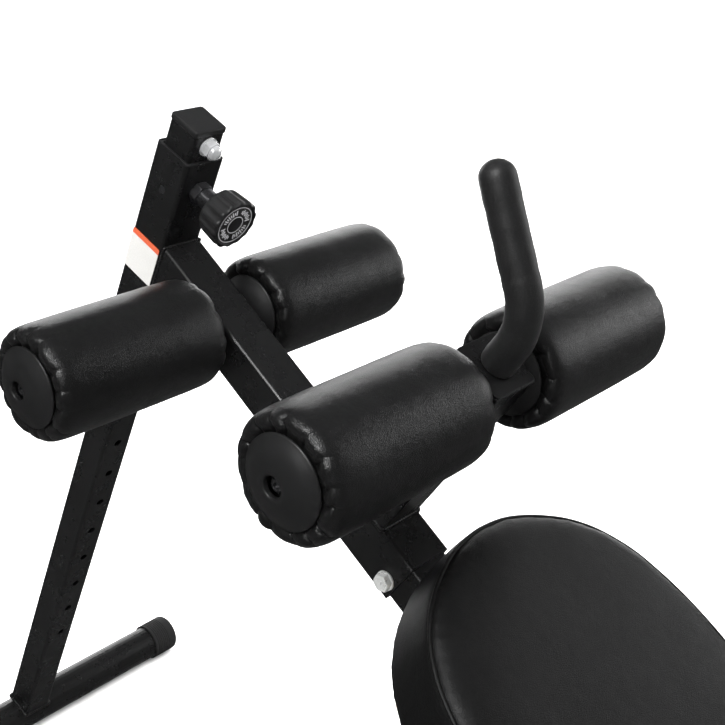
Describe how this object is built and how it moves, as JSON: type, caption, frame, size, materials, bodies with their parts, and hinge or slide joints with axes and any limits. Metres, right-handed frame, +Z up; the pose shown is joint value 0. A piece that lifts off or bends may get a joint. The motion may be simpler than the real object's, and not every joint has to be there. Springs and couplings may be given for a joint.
{
  "type": "roman chair",
  "caption": "Slant sit-up bench: upholstered board on a diagonal beam, padded leg rollers and an upright grip, height set by a pull pin on a perforated post.",
  "frame": {"origin": "on the floor, at the middle of the object's bounding box seen from above", "axes": "+X horizontal from the perforated post towards the head end of the board, +Y across the bench along the roller axles, +Z up"},
  "size_m": [1.532, 0.5346, 0.9715],
  "materials": {
    "frame_paint": "satin black powder coat",
    "roller_leather": "soft black synthetic leather",
    "pad_leather": "soft black synthetic leather",
    "disc_plastic": "matt moulded",
    "cap_plastic": "semi-matt moulded",
    "liner_plastic": "matt moulded",
    "foot_rubber": "matt rubber",
    "grip_foam": "closed-cell foam",
    "zinc": "bright zinc plated",
    "chrome": "polished",
    "steel": "bright drawn",
    "board": "plywood",
    "label": "printed film"
  },
  "bodies": {
    "frame": {"sleeve": "frame_paint", "front_beam": "frame_paint", "beam_socket": "frame_paint", "riser": "frame_paint", "riser_top_plate": "frame_paint", "grip_bar": "frame_paint", "rear_beam": "frame_paint", "rear_leg": "frame_paint", "rear_stabiliser": "frame_paint", "pad_bracket_front": "frame_paint", "pad_bracket_rear": "frame_paint", "rear_beam_cap": "cap_plastic", "sleeve_bushing_top": "liner_plastic", "sleeve_bushing_bottom": "liner_plastic", "rear_foot_left": "foot_rubber", "rear_foot_right": "foot_rubber", "grip_end_cap": "foot_rubber", "foam_grip": "grip_foam", "sleeve_grub_screw": "zinc", "pin_barrel": "zinc", "joint_bolt": "zinc", "joint_nut": "zinc", "back_axle_screw_left": "zinc", "back_axle_screw_right": "zinc", "front_axle_screw_left": "zinc", "front_axle_screw_right": "zinc", "pad_screw_front_left": "zinc", "pad_screw_front_right": "zinc", "pad_screw_rear_left": "zinc", "pad_screw_rear_right": "zinc", "back_axle": "steel", "front_axle": "steel", "pad_board": "board", "pad_cushion": "pad_leather", "label": "label"},
    "post": {"post_tube": "frame_paint", "post_top_cap": "cap_plastic", "stop_bolt": "chrome", "front_stabiliser": "frame_paint", "front_foot_left": "foot_rubber", "front_foot_right": "foot_rubber"},
    "pull_pin": {"pin_plunger": "steel", "pin_spring": "steel"},
    "knob": {"pin_knob": "cap_plastic"},
    "back_left_roller": {"back_left_roller_pad": "roller_leather", "back_left_roller_core": "liner_plastic", "back_left_roller_inner_disc": "disc_plastic", "back_left_roller_outer_disc": "disc_plastic"},
    "back_right_roller": {"back_right_roller_pad": "roller_leather", "back_right_roller_core": "liner_plastic", "back_right_roller_inner_disc": "disc_plastic", "back_right_roller_outer_disc": "disc_plastic"},
    "front_left_roller": {"front_left_roller_pad": "roller_leather", "front_left_roller_core": "liner_plastic", "front_left_roller_inner_disc": "disc_plastic", "front_left_roller_outer_disc": "disc_plastic"},
    "front_right_roller": {"front_right_roller_pad": "roller_leather", "front_right_roller_core": "liner_plastic", "front_right_roller_inner_disc": "disc_plastic", "front_right_roller_outer_disc": "disc_plastic"}
  },
  "joints": [
    {"name": "post_slide", "type": "slide", "parent": "frame", "child": "post", "axis": [0.4324, 0, 0.9017], "range_m": [0, 0.6456]},
    {"name": "pin_pull", "type": "slide", "parent": "frame", "child": "pull_pin", "axis": [0.9017, 0, -0.4324], "range_m": [0, 0.01], "stiffness_N_per_m": 1500, "springref_m": -0.006},
    {"name": "knob_turn", "type": "hinge", "parent": "pull_pin", "child": "knob", "pos_m": [-0.25747, 0, 0.86753], "axis": [0.9017, 0, -0.4324], "continuous": true},
    {"name": "back_left_roller_spin", "type": "hinge", "parent": "frame", "child": "back_left_roller", "pos_m": [-0.27072, 0, 0.75338], "axis": [0, 1, 0], "continuous": true},
    {"name": "back_right_roller_spin", "type": "hinge", "parent": "frame", "child": "back_right_roller", "pos_m": [-0.27072, 0, 0.75338], "axis": [0, 1, 0], "continuous": true},
    {"name": "front_left_roller_spin", "type": "hinge", "parent": "frame", "child": "front_left_roller", "pos_m": [0.05961, 0, 0.77167], "axis": [0, 1, 0], "continuous": true},
    {"name": "front_right_roller_spin", "type": "hinge", "parent": "frame", "child": "front_right_roller", "pos_m": [0.05961, 0, 0.77167], "axis": [0, 1, 0], "continuous": true}
  ]
}
